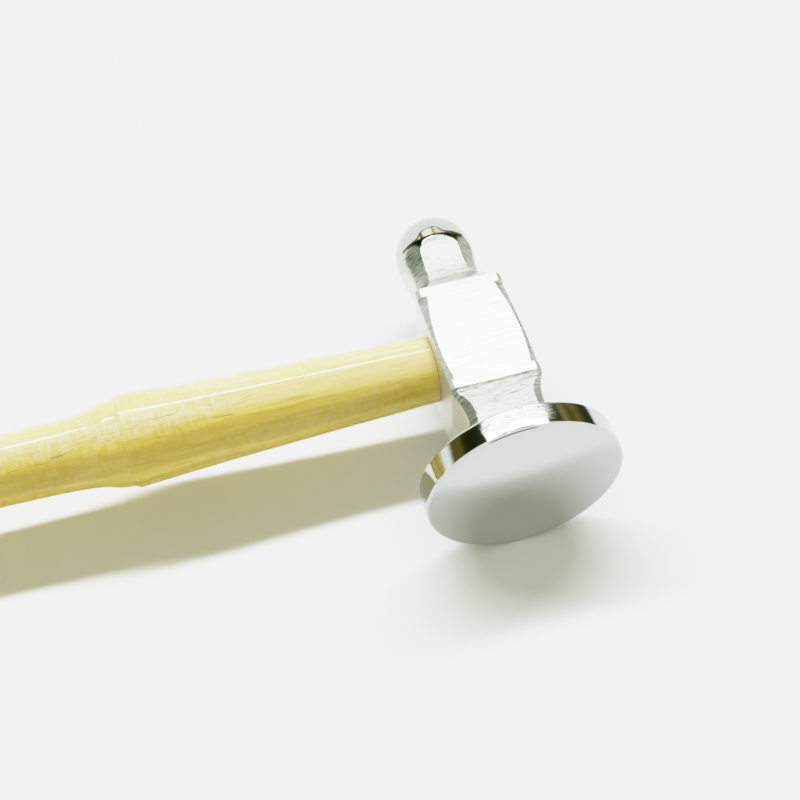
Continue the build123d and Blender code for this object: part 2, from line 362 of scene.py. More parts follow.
corner_form = form([
    spline([(12.6, 8.4), (13.5, 6.95), (14.6, 6.16), (15.9, 5.90), (17.4, 5.92),
            (19.0, 6.04), (20.6, 6.26), (22.2, 6.66)], (0.5, -1.0), (1.0, 0.35), 600),
    [(22.7, 8.4)],
])
SIDE, CHEEK = 0, 3                              # places in what limits() returns
SOFTNESS = 0.03                                 # rounding where two surfaces meet


def limits(turned_radius, y, angle):
    """Radius allowed by side, turning, corner and cheek (angle 0 = side, 90 deg = cheek)."""
    across, up = np.abs(np.cos(angle)), np.abs(np.sin(angle))
    return (
        side_form(y) / np.maximum(across, 1e-4),
        turned_radius + 0 * angle,
        corner_form(y) / ((across + up) / math.sqrt(2)),
        cheek_form(y) / np.maximum(up, 1e-4),
    )


def soft_radius(turned_radius, y, angle):
    """Smallest limit, rounded at the meetings; far from them it is the limit itself."""
    radii = np.stack([np.minimum(limit, 400.0) for limit in limits(turned_radius, y, angle)])
    least = radii.min(axis=0)
    return least - SOFTNESS * np.log(np.exp(-(radii - least) / SOFTNESS).sum(axis=0))


# ------------------------------------------------------------- head: mesh
TIP_R = 1e-3                                    # below this a row is a single point
EASE_ROWS = 26                                  # rows over which an edge eases away
EDGE_OFFSETS = np.array([0.025, 0.065, 0.13, 0.24])     # columns crowded at an edge
LEAST_GAP = math.radians(2.0)                   # between the side's and cheek's edges


def edge_rows(edge, usual, low, high):
    """Edge angle for every row, easing to the usual one where there is none."""
    rows = np.arange(len(edge))
    known = ~np.isnan(edge)
    stations = np.concatenate([
        [rows[known].min() - EASE_ROWS], rows[known], [rows[known].max() + EASE_ROWS]])
    angles = np.concatenate([[usual], edge[known], [usual]])
    return np.clip(np.interp(rows, stations, angles), low, high)


def edge_angles(outline):
    """Per row, the angles where the side ends and where the cheek starts."""
    fine = np.radians(np.linspace(0.0, 90.0, 3601))
    side_edge = np.full(len(outline), np.nan)
    cheek_edge = np.full(len(outline), np.nan)
    for i, (radius, y) in enumerate(outline):
        if radius < TIP_R:
            continue
        kind = np.stack(limits(radius, y, fine)).argmin(axis=0)
        side = np.where(kind == SIDE)[0]
        cheek = np.where(kind == CHEEK)[0]
        if len(side):
            side_edge[i] = fine[side.max()]
        if len(cheek):
            cheek_edge[i] = fine[cheek.min()]
    # edges this close to 0 or 90 degrees are ignored
    low, high = math.radians(7), math.radians(83)
    side_edge = edge_rows(np.where(side_edge < low, np.nan, side_edge),
                          math.radians(30), low, math.radians(80))
    cheek_edge = edge_rows(np.where(cheek_edge > high, np.nan, cheek_edge),
                           math.radians(60), math.radians(10), high)
    middle = (side_edge + cheek_edge) / 2
    tight = (cheek_edge - side_edge) < LEAST_GAP
    return (np.where(tight, middle - LEAST_GAP / 2, side_edge),
            np.where(tight, middle + LEAST_GAP / 2, cheek_edge))


def quarter_columns(radius, side_edge, cheek_edge):
    """Column angles over 0..90 degrees, crowded about the two edges."""
    radius = max(3.0, min(radius, FACE_R))

    def crowd(span):
        return EDGE_OFFSETS * min(1.0, span * radius / 1.3) / radius

    on_side = crowd(side_edge)
    between = crowd(cheek_edge - side_edge)
    on_cheek = crowd(math.pi / 2 - cheek_edge)
    return np.concatenate([
        np.linspace(0, side_edge - on_side[-1], 10),
        (side_edge - on_side[:-1])[::-1], [side_edge], side_edge + between[:-1],
        np.linspace(side_edge + between[-1], cheek_edge - between[-1], 9),
        (cheek_edge - between[:-1])[::-1], [cheek_edge], cheek_edge + on_cheek[:-1],
        np.linspace(cheek_edge + on_cheek[-1], math.pi / 2, 10),
    ])


def head_mesh():
    outline = head_outline()
    rings = []
    for (radius, y), side_edge, cheek_edge in zip(outline, *edge_angles(outline)):
        if radius < TIP_R:
            rings.append([(0.0, y, 0.0)])
            continue
        quarter = quarter_columns(radius, side_edge, cheek_edge)
        angles = np.concatenate([
            quarter[:-1],
            (math.pi - quarter[::-1])[:-1],
            (math.pi + quarter)[:-1],
            (2 * math.pi - quarter[::-1])[:-1],
        ])
        cut_radius = soft_radius(radius, y, angles)
        rings.append(list(zip(cut_radius * np.cos(angles), np.full(len(angles), y),
                              cut_radius * np.sin(angles))))
    obj = skinned("hammer_head", rings)
    tidy(obj, merge=0.004, sharp_angle=55)
    return obj


# (x, radius): waisted, wider towards +X, where the wedges are; both mouths lightly broken
EYE_PROFILE = [
    (-9.0, 0), (-9.0, 5.12), (-7.0, 5.09), (-6.90, 5.0), (-4.0, 4.945), (-1.5, 4.90),
    (2.5, 5.16), (6.84, 5.442), (7.0, 5.60), (9.0, 5.62), (9.0, 0)]


def mark_surfaces(obj):
    """Per-vertex shares of the surface kinds, for the head's material."""
    mesh = obj.data
    count = len(mesh.vertices)
    coords = np.empty(count * 3)
    mesh.vertices.foreach_get("co", coords)
    x, y, z = ((coords.reshape(-1, 3) - EYE) / MM).T
    radius = np.hypot(x, z)
    side, _, corner, cheek = limits(np.zeros(count), y, np.arctan2(z, x))
    tolerance = 0.05
    kinds = {kind: np.clip(1 - np.abs(limit - radius) / tolerance, 0, 1)
             for kind, limit in (("cheek", cheek), ("side", side), ("corner", corner))}
    # a cylinder just wider than the eye and just shorter than the head's width
    kinds["bore"] = np.where((np.hypot(y, z) < 5.8) & (np.abs(x) < 6.97), 1.0, 0.0)
    for kind, share in kinds.items():
        attribute = mesh.attributes.new("k_" + kind, "FLOAT", "POINT")
        attribute.data.foreach_set("value", share.astype(np.float32))


head = head_mesh()
cut(head, turned("eye_cutter", EYE_PROFILE, segments=128))
tidy(head, merge=0.002, sharp_angle=38)
mark_surfaces(head)

# ------------------------------------------------------------- handle
TENON_END = 7.80
# (x, radius), each from the head's side towards the grip's end
GRIP = [
    (-66.5, 5.66), (-76, 5.50), (-92, 5.02), (-108, 4.72), (-124, 4.98), (-142, 6.30),
    (-160, 8.60), (-178, 11.00), (-196, 12.60), (-210, 12.85), (-221, 11.60),
    (-227.5, 8.60), (-230, 0)]
COVE = [(-55.2, 7.46), (-57.2, 6.95), (-60, 6.28), (-63, 5.86), (-66.5, 5.66)]
FORE = [
    (-7.25, 5.34), (-14, 5.62), (-24, 5.98), (-34, 6.36), (-44, 6.80), (-51, 7.20),
    (-55.2, 7.46)]
# (x, radius) towards the tenon's end; the shoulder's edge is crisp but not razor sharp
SHOULDER = [
    (-7.55, 5.325), (-7.32, 5.335), (-7.16, 5.315), (-7.05, 5.26), (-7.0, 5.20), (-7.0, 5.05)]
TENON = [
    (-6.95, 5.0), (-4.0, 4.945), (-1.5, 4.90), (2.5, 5.159), (7.0, 5.45), (7.45, 5.45),
    (7.55, 5.43), (7.66, 5.36), (7.74, 5.27), (7.78, 5.12), (TENON_END, 4.9), (TENON_END, 0)]


def handle_outline():
    """(x, radius) from the grip's end to the tenon's end."""
    grip = spline(GRIP, (-1.0, -0.03), (0.0, -1.0), 3000)[::-1]
    cove = spline(COVE, (-0.62, -0.55), (-1.0, -0.03), 400)[::-1]
    fore = spline(FORE, None, None, 800)[::-1]
    outline = distinct([
        graded(grip, 0, ((-221, 0.55), (math.inf, 1.3))),
        resample(cove, 0.45), resample(fore, 1.0)[1:], SHOULDER, TENON])
    outline[[0, -1], 1] = 0.0
    return outline


# Both cuts taper inwards from the tenon's end; their cutters overrun it.
CUTTER_END = TENON_END + 1
# kerf for the wooden wedge: full widths, length of the taper between them
KERF_FLOOR_X = TENON_END - 11.0
KERF_WIDE, KERF_NARROW, KERF_TAPER = 2.40, 0.70, 10.95
KERF_OVERRUN = 1.05                             # cutter's end past the wide place
# slot for the steel wedge, likewise
SLOT_FLOOR_X = -0.95
SLOT_WIDE, SLOT_NARROW, SLOT_TAPER = 1.50, 0.40, 8.5
SLOT_OVERRUN = 1.25


def mouth_half(wide, narrow, taper, overrun):
    """Half the cutter's width at its end, the taper carried on over the overrun."""
    return wide / 2 + (wide - narrow) / 2 / taper * overrun


kerf_mouth = mouth_half(KERF_WIDE, KERF_NARROW, KERF_TAPER, KERF_OVERRUN)
slot_mouth = mouth_half(SLOT_WIDE, SLOT_NARROW, SLOT_TAPER, SLOT_OVERRUN)
handle = turned("hammer_handle", handle_outline(), segments=144)
tidy(handle, merge=0.002, sharp_angle=30)
cut(handle, prism("kerf", [
    (CUTTER_END, kerf_mouth), (CUTTER_END, -kerf_mouth),
    (KERF_FLOOR_X, -KERF_NARROW / 2), (KERF_FLOOR_X, KERF_NARROW / 2)], "xz", half=12.0))
cut(handle, prism("slot", [
    (CUTTER_END, slot_mouth), (SLOT_FLOOR_X, SLOT_NARROW / 2),
    (SLOT_FLOOR_X, -SLOT_NARROW / 2), (CUTTER_END, -slot_mouth)], "xy", half=3.2))
tidy(handle, merge=0.002, sharp_angle=30)


# ----------------------------------------------------------------- shader nodes
class Nodes:
    """Small helper around a shader node tree."""

    def __init__(self, tree):
        self.tree = tree
        tree.nodes.clear()

    def node(self, kind, inputs=None, **props):
        made = self.tree.nodes.new(kind)
        for key, value in props.items():
            setattr(made, key, value)
        for key, value in (inputs or {}).items():
            self.put(made.inputs[key], value)
        return made

    def put(self, socket, value):
        """Link a socket or a node's first output, or set a value."""
        if isinstance(value, bpy.types.Node):
            value = value.outputs[0]
        if isinstance(value, bpy.types.NodeSocket):
            self.tree.links.new(value, socket)
        elif socket.type == "RGBA":
            socket.default_value = (*value, 1.0)
        else:
            socket.default_value = value

    def math(self, operation, *values, clamp=False):
        return self.node("ShaderNodeMath", dict(enumerate(values)),
                         operation=operation, use_clamp=clamp).outputs[0]

    def add(self, total, *others):
        for value in others:
            total = self.math("ADD", total, value)
        return total

    def mul(self, product, *others):
        for value in others:
            product = self.math("MULTIPLY", product, value)
        return product

    def step(self, value, over, to=(0.0, 1.0)):
        """Smooth step between the two values of `to` as value crosses `over`."""
        return self.node("ShaderNodeMapRange", {
            "Value": value, "From Min": over[0], "From Max": over[1],
            "To Min": to[0], "To Max": to[1],
        }, interpolation_type="SMOOTHSTEP", clamp=True).outputs["Result"]

    def band(self, value, rise, fall):
        """One between rise and fall, zero outside; fall is (zero, one) too."""
        return self.mul(self.step(value, rise), self.step(value, fall))

    def noise(self, scale, detail, rough, distort=0.0, vector=None):
        return self.node("ShaderNodeTexNoise", {
            "Scale": scale, "Detail": detail, "Roughness": rough, "Distortion": distort,
            "Vector": vector or self.coord}).outputs["Fac"]

    def grain(self, stretch, detail, rough, offset=(0, 0, 0)):
        """Noise with its own frequency per metre along x, y and z."""
        mapping = self.node("ShaderNodeMapping", {
            "Vector": self.coord, "Scale": stretch, "Location": offset})
        return self.noise(1.0, detail, rough, vector=mapping.outputs["Vector"])

    def mix(self, factor, one, other):
        """Mix two colours."""
        return self.node("ShaderNodeMix", {0: factor, 6: one, 7: other},
                         data_type="RGBA", clamp_factor=True).outputs[2]

    def lerp(self, factor, low, high):
        """Mix two numbers."""
        return self.node("ShaderNodeMix", {0: factor, 2: low, 3: high},
                         data_type="FLOAT", clamp_factor=True).outputs[0]

    def paint(self, colour, *layers):
        """Lay each (mask, colour) over the colour in turn."""
        for mask, coat in layers:
            colour = self.mix(mask, colour, coat)
        return colour

    def relief(self, *layers):
        """Bumped normal; layers are (height, strength, distance in metres), lowest first."""
        normal = None
        for height, strength, distance in layers:
            inputs = {"Height": height, "Strength": strength, "Distance": distance}
            if normal is not None:
                inputs["Normal"] = normal
            normal = self.node("ShaderNodeBump", inputs).outputs["Normal"]
        return normal

    def ramp_round(self, turn, stops):
        """Colours round a full turn; stops are (degrees from -180 to 180, colour)."""
        made = self.node("ShaderNodeValToRGB", {"Fac": turn})
        elements = made.color_ramp.elements
        while len(elements) > 1:
            elements.remove(elements[-1])
        for i, (degrees, colour) in enumerate(stops):
            position = degrees / 360.0 + 0.5
            element = elements[0] if i == 0 else elements.new(position)
            element.position = position
            element.color = (*colour, 1.0)
        return made.outputs["Color"]

    def mix_shader(self, factor, one, other):
        return self.node("ShaderNodeMixShader", {0: factor, 1: one, 2: other})

    def background(self, colour, strength=1.0):
        return self.node("ShaderNodeBackground", {"Color": colour, "Strength": strength})

    def xyz(self, vector):
        return self.node("ShaderNodeSeparateXYZ", {0: vector}).outputs[:3]

    def surface(self, inputs):
        """Set the principled shader's inputs."""
        for key, value in inputs.items():
            self.put(self.bsdf.inputs[key], value)


def material(name):
    made = bpy.data.materials.new(name)
    made.use_nodes = True
    net = Nodes(made.node_tree)
    net.bsdf = net.node("ShaderNodeBsdfPrincipled")
    net.out = net.node("ShaderNodeOutputMaterial", {"Surface": net.bsdf})
    net.coord = net.node("ShaderNodeTexCoord").outputs["Object"]
    return made, net


# ----------------------------------------------------------------- materials
# Positions are in metres in the object's axes. A plain number multiplied into a
# mask is that layer's strength; one multiplied into a height or a noise its weight.
def plated_steel():
    made, net = material("plated_steel")
    x, y, z = net.xyz(net.coord)
    cheek, side, corner, bore = (
        net.node("ShaderNodeAttribute", attribute_name="k_" + kind).outputs["Fac"]
        for kind in ("cheek", "side", "corner", "bore"))
    # borders along the head: barrel's two ends, start of the cove before the ball
    face_end = (-0.01110, -0.01085)
    ball_end = (0.00955, 0.00975)
    ball_cove = (0.0126, 0.0140)
    flat = net.band(y, rise=face_end, fall=ball_end[::-1])
    flat_cheek = net.mul(cheek, flat)
    face_milled = net.mul(cheek, net.step(y, over=face_end[::-1]))
    ball_milled = net.mul(cheek, net.band(y, rise=ball_cove, fall=(0.0226, 0.0222)))
    slope = net.mul(cheek, net.band(y, rise=ball_end, fall=ball_cove[::-1]))

    # brushing across the head, on the barrel and in the coves
    brush = net.grain((90, 7000, 60), detail=3.0, rough=0.6)
    brush_wide = net.grain((180, 2600, 120), detail=2.0, rough=0.5, offset=(3, 5, 7))
    scoring = net.grain((560, 6200, 700), detail=3.0, rough=0.6, offset=(1, 2, 3))
    scoring_wide = net.grain((120, 1300, 150), detail=2.0, rough=0.5, offset=(9, 2, 5))
    # circumferential lines on the turned surfaces
    polish = net.grain((60, 5200, 60), detail=3.0, rough=0.6, offset=(4, 4, 4))
    polish_wide = net.grain((220, 900, 220), detail=3.0, rough=0.5, offset=(2, 7, 1))
    dashes = net.grain((620, 3600, 620), detail=3.0, rough=0.6, offset=(6, 3, 8))
    wave = net.noise(scale=160, detail=2.0, rough=0.5)
    specks = net.noise(scale=2600, detail=3.0, rough=0.6)
    turned_part = net.math("SUBTRACT", 1.0, net.add(cheek, side, corner), clamp=True)
    waist = net.mul(net.step(y, over=face_end[::-1]), net.step(y, over=(-0.0206, -0.0196)))
    ground = net.math("ADD", corner, net.mul(turned_part, net.add(flat, waist)), clamp=True)

    brush_height = net.add(net.mul(brush, 0.7), net.mul(brush_wide, 0.5))
    mill_height = net.add(net.mul(scoring, 0.9), net.mul(scoring_wide, 0.8))
    polish_height = net.add(net.mul(polish, 0.5), net.mul(polish_wide, 0.5))

    # the rim flares a little towards its back edge and is scored around
    rim = net.band(y, rise=(-0.02548, -0.02530), fall=(-0.02120, -0.02135))
    middle = net.mul(net.band(x, rise=(-0.0068, -0.0050), fall=(0.0050, 0.0026)),
                     net.step(z, over=(0.0, 0.002)), rim)
    flare_start, flare_gain = -0.0243, 8.0      # rises with the square of the distance
    back = net.math("MAXIMUM", net.add(y, -flare_start), 0.0)
    flare = net.mul(net.mul(back, back), net.mul(middle, flare_gain))
    score = net.mul(net.add(net.mul(rim, 0.10), net.mul(middle, 0.90)),
                    net.step(y, over=(-0.02485, -0.02330), to=(0.15, 1.0)))
    normal = net.relief(
        (wave, 0.25, 0.00003),
        (flare, 1.0, 1.0),
        (net.add(polish_height, net.mul(dashes, 1.8)), score, 0.000045),
        (brush_height, net.mul(flat_cheek, 0.5), 0.00004),
        (mill_height, net.add(face_milled, ball_milled), 0.00022),
        (brush_height, net.mul(side, 0.25), 0.00003),
        (mill_height, net.mul(ground, 0.8), 0.00010))

    # roughness: plain surfaces and rim, then (mask, roughness) laid over
    rough = net.lerp(rim, 0.035, net.lerp(polish, 0.020, 0.045))
    for mask, value in (
            (flat_cheek, net.lerp(brush, 0.30, 0.42)),
            (face_milled, net.lerp(scoring, 0.24, 0.38)),
            (ball_milled, net.lerp(scoring, 0.24, 0.38)),
            (slope, 0.22),
            (side, net.lerp(brush, 0.40, 0.55)),
            (ground, net.lerp(scoring, 0.22, 0.42)),
            (bore, 0.5)):
        rough = net.lerp(mask, rough, value)

    near = net.band(y, rise=(-0.0185, -0.0112), fall=(0.0205, 0.0130))
    milled = net.add(face_milled, ball_milled)
    hollow = net.step(net.add(scoring, net.mul(near, -0.035)), over=(0.425, 0.365))
    streak = net.step(net.add(scoring, net.mul(specks, 0.25)), over=(0.50, 0.70))
    # painted shade: the ground necks are darkened, most towards -X (the grip side)
    neck = net.mul(ground, net.add(waist, net.step(y, over=ball_cove)))
    to_grip = (0.0005, -0.0005)
    grip_side_shade = net.mul(net.step(x, over=to_grip, to=(0.35, 1.0)),
                   net.step(y, over=(0.0200, 0.0150), to=(1.0, 0.35)))
    grip_side_shade = net.math("MAXIMUM", grip_side_shade,
                    net.mul(waist, net.step(x, over=to_grip, to=(0.45, 1.0))))
    # painted shade along the ball's crease, upper side only
    ball_crease_shade = net.mul(turned_part, net.step(z, over=(-0.0036, -0.0030)),
                  net.band(y, rise=(0.0190, 0.0196), fall=(0.02262, 0.02225)))
    # painted dark reflection in the rim's scoring
    rim_dark_reflection = net.mul(score, rim, net.step(dashes, over=(0.56, 0.66)))
    # painted warm reflection: a line along the rim's front edge, upper stretch only
    edge = net.mul(net.step(y, over=(-0.02522, -0.02530)), net.step(y, over=(-0.02542, -0.02538)))
    edge = net.mul(edge, net.band(x, rise=(-0.0062, -0.0050), fall=(0.0016, 0.0004)))
    base = net.mix(net.lerp(wave, 0.2, 0.8), (0.560, 0.584, 0.562), (0.580, 0.602, 0.580))
    tone = net.paint(
        base,
        # brushed barrel cheeks with darker lines
        (flat_cheek, (0.72, 0.745, 0.725)),
        (net.mul(flat_cheek, net.step(brush_wide, over=(0.52, 0.72))), (0.42, 0.435, 0.42)),
        (net.mul(flat_cheek, net.mul(net.step(brush, over=(0.56, 0.70)), 0.6)),
         (0.36, 0.37, 0.36)),
        # milled coves: deepest scored beside the barrel, cleaner towards the ends
        (milled, (0.90, 0.92, 0.895)),
        (net.mul(milled, near, 0.60), (0.50, 0.52, 0.48)),
        (net.mul(milled, hollow, 0.60), (0.17, 0.185, 0.15)),
        (side, (0.78, 0.80, 0.775)),
        (ground, net.mix(streak, (0.40, 0.42, 0.375), (0.66, 0.685, 0.64))),
        # painted shade in the ground necks, with the grinding streaks running through it
        (net.mul(neck, grip_side_shade), net.mix(streak, (0.055, 0.080, 0.035), (0.27, 0.30, 0.23))),
        # painted shade: a dark line where the polished ball meets the milled neck, on the upper
        # side only
        (net.mul(ball_crease_shade, 0.9), (0.045, 0.085, 0.090)),
        # painted reflections on the rim: dark specks in its scoring, faint all round and strong on
        # the upper stretch (x -6.8 to +5 mm), and a warm line along its front edge on the upper
        # stretch (x -6.2 to +1.6 mm)
        (net.mul(rim_dark_reflection, 0.93), (0.05, 0.05, 0.03)),
        (net.mul(edge, net.step(z, over=(0.0, 0.002), to=(0.0, 0.8))), (0.10, 0.050, 0.02)),
        (net.mul(specks, 0.10), (0.52, 0.54, 0.52)),
        (bore, (0.30, 0.29, 0.27)))
    net.surface({"Base Color": tone, "Metallic": 1.0, "Roughness": rough, "Normal": normal})
    return made


def lacquered_wood():
    made, net = material("lacquered_wood")
    x, y, z = net.xyz(net.coord)
    # a slow wander of the fibre direction along the handle
    wander = net.grain((18, 60, 60), detail=2.0, rough=0.5)
    wander_slow = net.grain((9, 14, 14), detail=1.0, rough=0.5, offset=(5, 1, 2))
    # growth layers: nearly flat sheets along the handle, in layers per metre
    layer = net.add(net.add(net.mul(z, 330.0), net.mul(y, 150.0)),
                    net.add(net.mul(wander, 1.9), net.mul(wander_slow, 3.2)))
    late = net.band(net.math("FRACT", layer), rise=(0.35, 0.92), fall=(1.0, 0.90))
    fine = net.grain((70, 1700, 1700), detail=4.0, rough=0.65)
    medium = net.grain((16, 230, 230), detail=3.0, rough=0.6, offset=(3, 3, 3))
    broad = net.grain((8, 70, 70), detail=2.0, rough=0.5, offset=(1, 6, 2))
    cross = net.grain((1250, 520, 520), detail=3.0, rough=0.6, offset=(7, 6, 2))
    patch = net.grain((45, 110, 110), detail=2.0, rough=0.5, offset=(4, 9, 1))
    pores = net.grain((210, 3300, 3300), detail=1.0, rough=0.4, offset=(8, 1, 4))
    # metres across the handle, low on its lower front side and high on its upper back side,
    # towards the lamp: tilted by the weights of z and y, wavering by 3 mm of noise
    across = net.add(net.mul(net.add(z, 0.0084), 0.6), net.mul(y, 0.8),
                     net.mul(net.add(wander, net.mul(broad, 1.4)), 0.0030))
    across = net.add(across, -0.0036)
    lane = net.band(across, rise=(-0.0012, 0.0002), fall=(0.0030, 0.0016))
    pore = net.mul(net.step(net.add(pores, net.mul(lane, 0.045)), over=(0.705, 0.745)),
                   net.step(medium, over=(0.40, 0.55)))

    # painted light and shade: the upper side is painted pale cream as if lit and the lower side
    # deep gold as if shaded, with an olive band of painted shade below the change; a lerp on this
    # share gives a layer's strength on the lower and on the upper side
    lit_side = net.step(across, over=(-0.0010, 0.0024))
    shaded_tone = net.mix(net.step(broad, over=(0.35, 0.65)),
                         (0.71, 0.545, 0.045), (0.78, 0.630, 0.130))
    lit_tone = net.mix(net.step(medium, over=(0.34, 0.66)),
                       (0.70, 0.605, 0.290), (0.79, 0.710, 0.410))
    olive = net.mix(lit_side, (0.480, 0.330, 0.002), (0.60, 0.470, 0.120))
    vein = net.mix(lit_side, (0.530, 0.375, 0.020), (0.60, 0.480, 0.170))
    # colour of the painted sheen blotches
    painted_sheen = (0.77, 0.650, 0.430)
    # painted shade: an olive band along the lower side, broken by the grain
    shade_band = net.mul(net.band(across, rise=(-0.0052, -0.0034), fall=(-0.0002, -0.0020)),
                    net.lerp(net.step(medium, over=(0.34, 0.62)), 0.30, 1.0))
    # painted sheen: pale blotches across the grain for the wood's chatoyance, strongest on the
    # upper side
    mottle = net.mul(net.step(cross, over=(0.42, 0.60)), net.step(patch, over=(0.34, 0.52)),
                     net.step(across, over=(0.0052, 0.0030)))
    fleck = net.mul(net.step(cross, over=(0.50, 0.38)), net.step(patch, over=(0.34, 0.52)))
    # end grain on the tenon's end, a darker band beside the head
    end = net.step(x, over=(0.0074, 0.00775))
    rings = net.grain((10, 2600, 2600), detail=2.0, rough=0.6, offset=(2, 2, 2))
    seat = net.step(x, over=(-0.0082, -0.0071))
    colour = net.paint(
        net.mix(lit_side, shaded_tone, lit_tone),
        (net.mul(shade_band, 0.85), olive),
        (net.mul(net.step(medium, over=(0.50, 0.70)), net.lerp(lit_side, 0.50, 0.22)), olive),
        (net.mul(late, net.lerp(lit_side, 0.45, 0.30)), vein),
        (net.mul(net.step(fine, over=(0.46, 0.64)), net.lerp(lit_side, 0.55, 0.50)), vein),
        (net.mul(mottle, net.lerp(lit_side, 0.10, 0.60)), painted_sheen),
        (net.mul(fleck, net.lerp(lit_side, 0.30, 0.26)), vein),
        (net.mul(pore, 0.70), (0.30, 0.19, 0.04)),
        (end, net.mix(net.step(rings, over=(0.42, 0.62)), (0.50, 0.38, 0.18), (0.30, 0.20, 0.08))),
        (net.mul(seat, 0.35), (0.36, 0.26, 0.07)))
    ripple = net.grain((130, 260, 260), detail=2.0, rough=0.5, offset=(1, 8, 3))
    net.surface({
        "Base Color": colour,
        "Roughness": net.lerp(fine, 0.42, 0.60),
        "Specular IOR Level": 0.15,
        "Coat Weight": net.lerp(end, 1.0, 0.1),
        "Coat Roughness": net.lerp(cross, 0.03, 0.07),
        "Coat IOR": 1.46,
        "Normal": net.relief(
            (net.add(net.mul(fine, 0.6), net.mul(pore, -1.5)), 0.25, 0.00006)),
        "Coat Normal": net.relief(
            (ripple, 0.22, 0.00010),
            (fine, 0.50, 0.00003),
            (net.mul(pore, -1.0), 0.15, 0.00005)),
    })
    return made


def wedge_wood():
    made, net = material("wedge_hardwood")
    fibre = net.grain((90, 2400, 2400), detail=4.0, rough=0.6)
    dots = net.grain((60, 5200, 5200), detail=2.0, rough=0.5, offset=(3, 1, 2))
    streaks = net.grain((20, 500, 300), detail=2.0, rough=0.5, offset=(1, 1, 4))
    colour = net.paint(
        net.mix(net.step(fibre, over=(0.35, 0.70)), (0.52, 0.34, 0.17), (0.36, 0.215, 0.095)),
        (net.mul(net.step(dots, over=(0.58, 0.66)), 0.7), (0.17, 0.09, 0.035)),
        (net.mul(streaks, 0.35), (0.60, 0.43, 0.24)))
    net.surface({
        "Base Color": colour,
        "Roughness": net.lerp(fibre, 0.55, 0.75),
        "Normal": net.relief((net.add(fibre, net.mul(dots, -0.8)), 0.5, 0.00008)),
    })
    return made


def wedge_steel():
    made, net = material("hammered_steel")
    x = net.xyz(net.coord)[0]
    dents = net.noise(scale=1500, detail=3.0, rough=0.6)
    scratch = net.grain((900, 9000, 1200), detail=3.0, rough=0.6)
    stain = net.noise(scale=620, detail=3.0, rough=0.6, distort=0.4)
    struck = net.step(x, over=(0.0072, 0.00752))
    colour = net.paint(
        net.mix(net.step(stain, over=(0.40, 0.62)), (0.50, 0.50, 0.49), (0.30, 0.285, 0.27)),
        (net.mul(struck, 0.6), (0.62, 0.62, 0.61)))
    net.surface({
        "Base Color": colour,
        "Metallic": 1.0,
        "Roughness": net.lerp(dents, 0.26, 0.52),
        "Normal": net.relief((dents, 0.8, 0.00010), (scratch, 0.35, 0.00003)),
    })
    return made


def wear(obj, made):
    obj.data.materials.clear()
    obj.data.materials.append(made)


def dress(node, made):
    """Put a material on every slot of one of the frame's own pieces."""
    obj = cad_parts[node]
    for slot in obj.material_slots:
        slot.material = made
    if not obj.material_slots:
        obj.data.materials.append(made)


wear(head, plated_steel())
wear(handle, lacquered_wood())
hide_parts("head")
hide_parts("handle")
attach(head, "root")
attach(handle, "root")
dress("wood_wedge", wedge_wood())
dress("steel_wedge", wedge_steel())

# ------------------------------------------------------------- floor
# The floor is parallel to the head's axis and touches the face's edge and the
# grip; the ball stays about 8 mm clear of it.
FLOOR_UP = Vector((0.01029945, 0.0, 0.99994696)).normalized()
FLOOR_CENTRE = FLOOR_UP * (-15.04 * MM) + Vector(EYE)
# grid lines both ways, fine in the middle and coarse far out
FLOOR_GRID = [-9.0, -3.0, -1.0, -0.4, -0.15, 0.0, 0.15, 0.4, 1.0, 3.0, 9.0]
BACKDROP = (1.20, 1.215, 1.20)


def placed(x_axis, y_axis, z_axis, origin):
    """Matrix with the given axes and origin."""
    matrix = Matrix((x_axis, y_axis, z_axis)).transposed().to_4x4()
    matrix.translation = origin
    return matrix


def pale_floor():
    made, net = material("pale_floor")
    mottle = net.noise(scale=3.0, detail=2.0, rough=0.5)
    net.surface({
        "Base Color": net.mix(mottle, (0.865, 0.868, 0.862), (0.875, 0.877, 0.872)),
        "Roughness": 0.9,
        "Specular IOR Level": 0.0,
    })
    reach = net.node("ShaderNodeVectorMath", {0: net.coord}, operation="LENGTH").outputs["Value"]
    path = net.node("ShaderNodeLightPath")
    # a sweep: far out the sheet runs into the pale background without a horizon
    sweep = net.mix_shader(
        net.mul(path.outputs["Is Camera Ray"], net.step(reach, over=(0.40, 1.10))),
        net.bsdf, net.node("ShaderNodeEmission", {"Color": BACKDROP}))
    # in reflections the sheet ends a little way off, and the room shows past it
    gone = net.mix_shader(
        net.mul(path.outputs["Is Glossy Ray"], net.step(reach, over=(0.13, 0.20))),
        sweep, net.node("ShaderNodeBsdfTransparent"))
    net.put(net.out.inputs["Surface"], gone)
    return made


def build_floor():
    x_axis = Vector((1, 0, 0))
    x_axis = (x_axis - FLOOR_UP * x_axis.dot(FLOOR_UP)).normalized()
    matrix = placed(x_axis, FLOOR_UP.cross(x_axis), FLOOR_UP, FLOOR_CENTRE)
    points = [tuple(matrix @ Vector((x, y, 0))) for y in FLOOR_GRID for x in FLOOR_GRID]
    row = len(FLOOR_GRID)
    faces = [(j * row + i, j * row + i + 1, (j + 1) * row + i + 1, (j + 1) * row + i)
             for j in range(row - 1) for i in range(row - 1)]
    obj = new_object("floor", points, faces)
    obj.data.materials.append(pale_floor())


# ------------------------------------------------------------- light
# The lamp is a long strip along X: an area light for diffuse light, and a
# strip painted in the world for reflections. Elevations rise from +Y to +Z.
KEY_ELEVATION = math.radians(63.0)
KEY_DISTANCE = 2.0
KEY_HALF_LENGTH, KEY_HALF_WIDTH = math.radians(37), math.radians(2.2)
KEY_IRRADIANCE, KEY_GAIN = 4.1, 1.18
GLOSS_ELEVATION, GLOSS_HALF_WIDTH = math.radians(57.0), math.radians(1.9)
GLOSS_SOFT = 0.01                               # half the strip's soft edge, radians

WHITE = (1.32, 1.365, 1.325)
